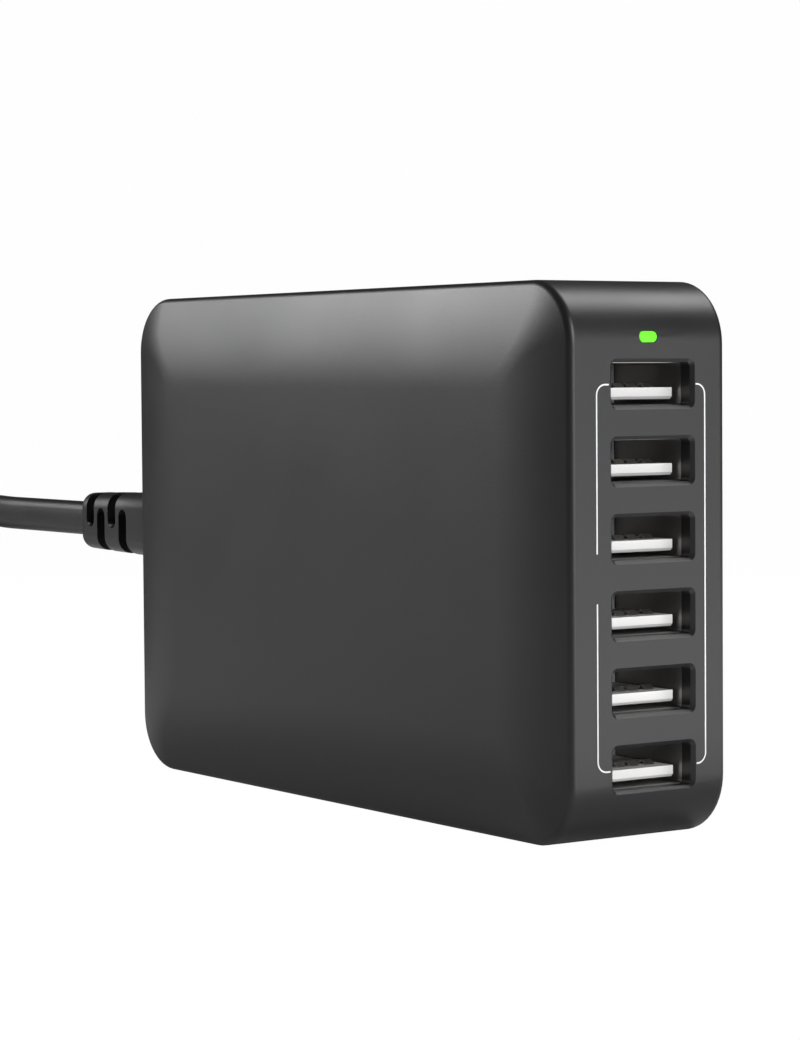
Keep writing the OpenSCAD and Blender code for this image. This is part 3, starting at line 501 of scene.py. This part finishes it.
even.keep_sharp = True

# Side cover. The crowned panel on the far side, set into the case's rim and welded
# round its edge, so only a thin seam shows.
cover_gap = 0.15 * mm
cover_inset = seam_inset + cover_gap
cover_rim = 3 * mm
profile = crown_profile(cover_inset + seam_edge)
profile += [(cover_inset, profile[-1][1] - seam_edge), (cover_inset, x_seat),
            (cover_inset + cover_rim, x_seat), (cover_inset + cover_rim, case_half - wall)]
bm = bmesh.new()
lofted(bm, [side_outline(bm, inset, x) for inset, x in profile])
cover = piece(bm, "cover", case_black, "case_plastic", "side_cover", sharp=30)
even = cover.modifiers.new("even", "WEIGHTED_NORMAL")
even.keep_sharp = True

# Indicator. A clear light guide pressed into its slot flush with the front face, and lit
# green from behind. Its edge is slightly rounded.
lens_width, lens_height, lens_radius = 2.62 * mm, 1.34 * mm, 0.66 * mm
# Depth behind the front face and inset of the lens's outlines
lens_profile = ((0, 0.08 * mm), (0.03 * mm, 0.02 * mm), (0.09 * mm, 0), (15 * mm, 0))
glow_green = bpy.data.materials.new("glow_green")
glow_green.use_nodes = True
shader = glow_green.node_tree.nodes["Principled BSDF"]
shader.inputs["Base Color"].default_value = (0.02, 0.3, 0.005, 1)
shader.inputs["Emission Color"].default_value = (0.16, 0.95, 0.005, 1)
shader.inputs["Emission Strength"].default_value = 1
shader.inputs["Roughness"].default_value = 0.5
bm = bmesh.new()
lofted(bm, [outline(bm, facing_y(indicator_centre, y_front + depth), lens_width - 2 * inset,
                    lens_height - 2 * inset, lens_radius - inset)
            for depth, inset in lens_profile])
piece(bm, "indicator", glow_green, "indicator_green", "indicator_lens")

# Printed bracket beside the sockets. White ink in one thin line on the front face, open in
# the middle of its left side. Its ends stop just short of the top and bottom sockets.
line_width = 0.2 * mm
ink_thickness = 0.05 * mm
bracket_width = 17 * mm
bracket_bend = 1.3 * mm
bracket_x = 0.35 * mm
bracket_top, bracket_bottom = socket_heights[-1] - 0.04 * mm, socket_heights[0] - 0.02 * mm
left_end, right_end = -6.25 * mm, 7.4 * mm
gap_height = 6.1 * mm
bend_steps = 8
ink_white = finish_of("ink_white", (0.82, 0.82, 0.82), 0.6, relief=0.000004)


def bend(side, up):
    """Quarter turn of the line, from an end of the bracket to its upright side."""
    x = bracket_x + side * (bracket_width / 2 - bracket_bend)
    z = (bracket_top if up > 0 else bracket_bottom) - up * bracket_bend
    angles = [pi / 2 * i / bend_steps for i in range(bend_steps + 1)]
    return [(x + side * bracket_bend * sin(angle), z + up * bracket_bend * cos(angle)) for angle in angles]


def line_places(points):
    """One place per point of a line drawn on the front face."""
    path = [Vector((x, y_front - ink_thickness * 0.4, z)) for x, z in points]
    places = []
    for i, point in enumerate(path):
        along = (path[min(i + 1, len(path) - 1)] - path[max(i - 1, 0)]).normalized()
        out = Vector((0, -1, 0))
        turn = Matrix((out.cross(along), out, along)).transposed()
        places.append(Matrix.Translation(point) @ turn.to_4x4())
    return places


x_left = bracket_x - bracket_width / 2
z_gap = (bracket_top + bracket_bottom) / 2
bm = bmesh.new()
for points in ([(right_end, bracket_top)] + bend(1, 1) + bend(1, -1)[::-1] + [(right_end, bracket_bottom)],
               [(left_end, bracket_top)] + bend(-1, 1) + [(x_left, z_gap + gap_height / 2)],
               [(left_end, bracket_bottom)] + bend(-1, -1) + [(x_left, z_gap - gap_height / 2)]):
    swept(bm, line_places(points), line_width, ink_thickness, ink_thickness * 0.4, 1)
piece(bm, "bracket_ink", ink_white, "white_print", "bracket_print")

# Socket shells and tongues. Each shell is folded from plated steel sheet, open at the front
# with a rounded lip. The white tongue is moulded plastic and keeps its CAD form.
mouth_y = y_front + 2.2 * mm
board_y = mouth_y + 16 * mm
shell_width = 12.5 * mm
shell_height = 5.12 * mm
sheet = 0.3 * mm
# Place along Y, distance out from the inside and corner radius, from the rear over the lip
shell_profile = [
    (board_y, sheet, 0.6 * mm), (mouth_y + sheet / 2, sheet, 0.6 * mm),
    (mouth_y + sheet / 7, sheet * 0.85, 0.55 * mm), (mouth_y, sheet / 2, 0.45 * mm),
    (mouth_y + sheet / 7, sheet * 0.15, 0.35 * mm), (mouth_y + sheet / 2, 0, 0.3 * mm),
    (board_y - 0.02 * mm, 0, 0.3 * mm)]
# Plated steel, with its colour darkened as painted shade for the inside of the sockets.
steel_with_painted_shade = finish_of("steel_with_painted_shade", (0.25, 0.243, 0.237), 0.34, grain_size=0.0004, relief=0.000006,
                         metallic=1.0)
tongue_white = finish_of("tongue_white", (0.82, 0.82, 0.81), 0.35, relief=0.000004)


def give_finish(node, material):
    """Finish of a piece that keeps its CAD form."""
    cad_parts[node].data.materials.clear()
    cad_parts[node].data.materials.append(material)


for number, z in enumerate(reversed(socket_heights), 1):
    centre = Vector((socket_x, 0, z))
    bm = bmesh.new()
    loops = [outline(bm, facing_y(centre, y), shell_width + 2 * out, shell_height + 2 * out, radius, 4)
             for y, out, radius in shell_profile]
    for before, after in zip(loops, loops[1:]):
        bmesh.ops.bridge_loops(bm, edges=before + after)
    bmesh.ops.bridge_loops(bm, edges=loops[-1] + loops[0])
    piece(bm, f"usb_shell_{number}", steel_with_painted_shade, "socket_steel", f"socket_shell_{number}")
    give_finish(f"socket_tongue_{number}", tongue_white)

# Socket contacts. Four strips of plated spring sheet in each socket, pressed into the
# tongue from behind, with a sharp fold near its tip that the plug's own strips slide over.
contact_metal = finish_of("contact_metal", (0.66, 0.64, 0.6), 0.32, relief=0.000004, metallic=1.0)
contact_width = 1.4 * mm
contact_pitch = 2 * mm
# Middles of the four strips, in pitches from the middle of the row
contact_steps = (-1.75, -0.5, 0.5, 1.75)
contact_sheet = 0.15 * mm
strip_height = 0.1 * mm
fold_height = 0.6 * mm
fold_length = 1.7 * mm
for number in range(1, len(socket_heights) + 1):
    low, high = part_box(f"socket_contacts_{number}")
    tip = low.y
    # A strip's edge seen from the side, as distance along Y and rise above the tongue
    fold = [(tip, 0), (tip + fold_length * 0.45, fold_height), (tip + fold_length * 0.55, fold_height),
            (tip + fold_length, strip_height), (high.y, strip_height), (high.y, 0),
            (tip + fold_length * 0.9, 0), (tip + fold_length * 0.5, fold_height - contact_sheet),
            (tip + fold_length * 0.13, 0)]
    bm = bmesh.new()
    for step in contact_steps:
        x = (low.x + high.x) / 2 + step * contact_pitch - contact_width / 2
        corners = [bm.verts.new((x, y, low.z + rise)) for y, rise in fold]
        edges = [bm.edges.new(pair) for pair in zip(corners, corners[1:] + corners[:1])]
        side = bmesh.ops.contextual_create(bm, geom=edges)["faces"]
        drawn = bmesh.ops.extrude_face_region(bm, geom=side)["geom"]
        bmesh.ops.translate(bm, vec=(contact_width, 0, 0),
                            verts=[corner for corner in drawn if isinstance(corner, bmesh.types.BMVert)])
    piece(bm, f"usb_contacts_{number}", contact_metal, "contact_gold", f"socket_contacts_{number}")

# Inner parts, which the case, the connector and the plug hide, and the plug's blades. They
# sit on the boards or in the mouldings. Each keeps its CAD form and gets its own finish.
solder_mask = finish_of("solder_mask", (0.03, 0.14, 0.06), 0.35)
chip_black = finish_of("chip_black", (0.02, 0.02, 0.02), 0.6)
bright_metal = finish_of("bright_metal", (0.7, 0.68, 0.62), 0.25, metallic=1.0)
brass = finish_of("brass", (0.75, 0.55, 0.25), 0.3, metallic=1.0)
ceramic = finish_of("ceramic", (0.8, 0.79, 0.75), 0.4)
dipped_blue = finish_of("dipped_blue", (0.03, 0.1, 0.4), 0.3)
yellow_tape = finish_of("yellow_tape", (0.8, 0.6, 0.05), 0.4)
ferrite = finish_of("ferrite", (0.05, 0.05, 0.055), 0.7)
copper = finish_of("copper", (0.7, 0.3, 0.15), 0.3, metallic=1.0)
can_blue = finish_of("can_blue", (0.04, 0.06, 0.15), 0.3)
aluminium = finish_of("aluminium", (0.75, 0.75, 0.77), 0.4, metallic=1.0)
inner_finishes = {
    "port_board": solder_mask, "main_board": solder_mask, "board_screws": bright_metal,
    "indicator_led": ceramic, "charging_chips": chip_black, "inlet_body": chip_black,
    "inlet_pins": bright_metal, "inlet_straps": brass, "fuse": ceramic, "varistor": dipped_blue,
    "x_capacitor": yellow_tape, "choke_core": ferrite, "choke_windings": copper,
    "bulk_capacitors": can_blue, "bridge_rectifier": chip_black, "transformer_core": ferrite,
    "transformer_bobbin": chip_black, "transformer_winding": yellow_tape, "primary_heat_sink": aluminium,
    "switching_transistor": chip_black, "y_capacitor": dipped_blue, "optocoupler": ceramic,
    "secondary_heat_sink": aluminium, "output_rectifier": chip_black, "output_capacitors": can_blue,
    "output_choke": copper, "connector_sleeves": brass, "plug_blades": bright_metal}
for node, material in inner_finishes.items():
    give_finish(node, material)

# Stage. The charger stands on a table whose paint is a painted pool of light: bright round the charger,
# dark about half a metre away. The camera sees table and surroundings white. Soft boxes stand behind,
# above and in front, and one lies on the table before the sockets and lights them from below.
world = bpy.data.worlds.new("surroundings")
scene.world = world
world.use_nodes = True


def by_ray(tree, shares):
    """A value that differs with the kind of ray that asks for it."""
    path = tree.nodes.new("ShaderNodeLightPath")
    total = None
    for name, share in shares.items():
        part = tree.nodes.new("ShaderNodeMath")
        part.operation = "MULTIPLY_ADD"
        part.inputs[1].default_value = share
        part.inputs[2].default_value = 0
        tree.links.new(path.outputs[name], part.inputs[0])
        if total:
            tree.links.new(total, part.inputs[2])
        total = part.outputs[0]
    return total


background = world.node_tree.nodes["Background"]
background.inputs["Color"].default_value = (0.99, 0.99, 0.99, 1)
world_shares = {"Is Camera Ray": 1, "Is Transmission Ray": 1, "Is Glossy Ray": 0.06, "Is Diffuse Ray": 0.07}
world.node_tree.links.new(by_ray(world.node_tree, world_shares), background.inputs["Strength"])

# The table's paint: a painted pool of light round the charger, dark beyond it, and white to the camera
painted_pool_bright, painted_pool_reach = 0.8, 0.3
painted_falloff_dark, painted_falloff_end = 0.03, 0.6
table_half = 4
seen_white = {"Is Camera Ray": 0.97, "Is Transmission Ray": 0.97}
table_white = bpy.data.materials.new("table_white")
table_white.use_nodes = True
nodes, link = table_white.node_tree.nodes, table_white.node_tree.links.new
shader = nodes["Principled BSDF"]
shader.inputs["Roughness"].default_value = 0.9
shader.inputs["Specular IOR Level"].default_value = 0
glow = nodes.new("ShaderNodeEmission")
glow.inputs["Strength"].default_value = 1.02
mixed = nodes.new("ShaderNodeMixShader")
place = nodes.new("ShaderNodeTexCoord")
reach = nodes.new("ShaderNodeVectorMath")
reach.operation = "LENGTH"
painted_pool = nodes.new("ShaderNodeMapRange")
painted_pool.interpolation_type = "SMOOTHSTEP"
painted_pool.inputs["From Min"].default_value = painted_pool_reach
painted_pool.inputs["From Max"].default_value = painted_falloff_end
painted_pool.inputs["To Min"].default_value = painted_pool_bright
painted_pool.inputs["To Max"].default_value = painted_falloff_dark
link(place.outputs["Object"], reach.inputs[0])
link(reach.outputs["Value"], painted_pool.inputs["Value"])
link(painted_pool.outputs["Result"], shader.inputs["Base Color"])
link(by_ray(table_white.node_tree, seen_white), mixed.inputs["Fac"])
link(shader.outputs[0], mixed.inputs[1])
link(glow.outputs[0], mixed.inputs[2])
link(mixed.outputs[0], nodes["Material Output"].inputs["Surface"])
bm = bmesh.new()
bmesh.ops.create_grid(bm, x_segments=1, y_segments=1, size=table_half)
mesh = bpy.data.meshes.new("table")
bm.to_mesh(mesh)
bm.free()
table = bpy.data.objects.new("table", mesh)
scene.collection.objects.link(table)
mesh.materials.append(table_white)


def lamp(name, place, target, width, height, power):
    """Soft box at a place, facing a target."""
    data = bpy.data.lights.new(name, "AREA")
    data.shape = "RECTANGLE"
    data.size = width
    data.size_y = height
    data.energy = power
    made = bpy.data.objects.new(name, data)
    made.location = place
    made.rotation_euler = (Vector(target) - Vector(place)).to_track_quat("-Z", "Y").to_euler()
    made.visible_camera = False
    scene.collection.objects.link(made)


charger_middle = (0, 0, 0.035)
lamp("lamp_behind_low", (-0.58, 0.83, 0.29), charger_middle, 0.3, 0.3, 1.95)
lamp("lamp_behind_high", (-0.53, 0.76, 0.53), charger_middle, 0.3, 0.3, 3.6)
lamp("lamp_left", (-0.71, 0.68, 0.41), charger_middle, 0.3, 0.3, 0.95)
lamp("lamp_above", (0.44, -0.08, 0.72), charger_middle, 0.4, 0.44, 3.3)
lamp("lamp_front_right", (0.7, -1.04, 0.15), charger_middle, 0.5, 0.3, 1.5)
lamp("lamp_front_low", (0.05, -1.2, 0.15), charger_middle, 0.3, 0.3, 2.5)
lamp("lamp_front_high", (0.05, -1.1, 0.5), charger_middle, 0.35, 0.35, 5.6)
lamp("lamp_near_floor", (0.12, -0.2, 0.003), (0.12, -0.2, 1), 0.26, 0.26, 0.36)
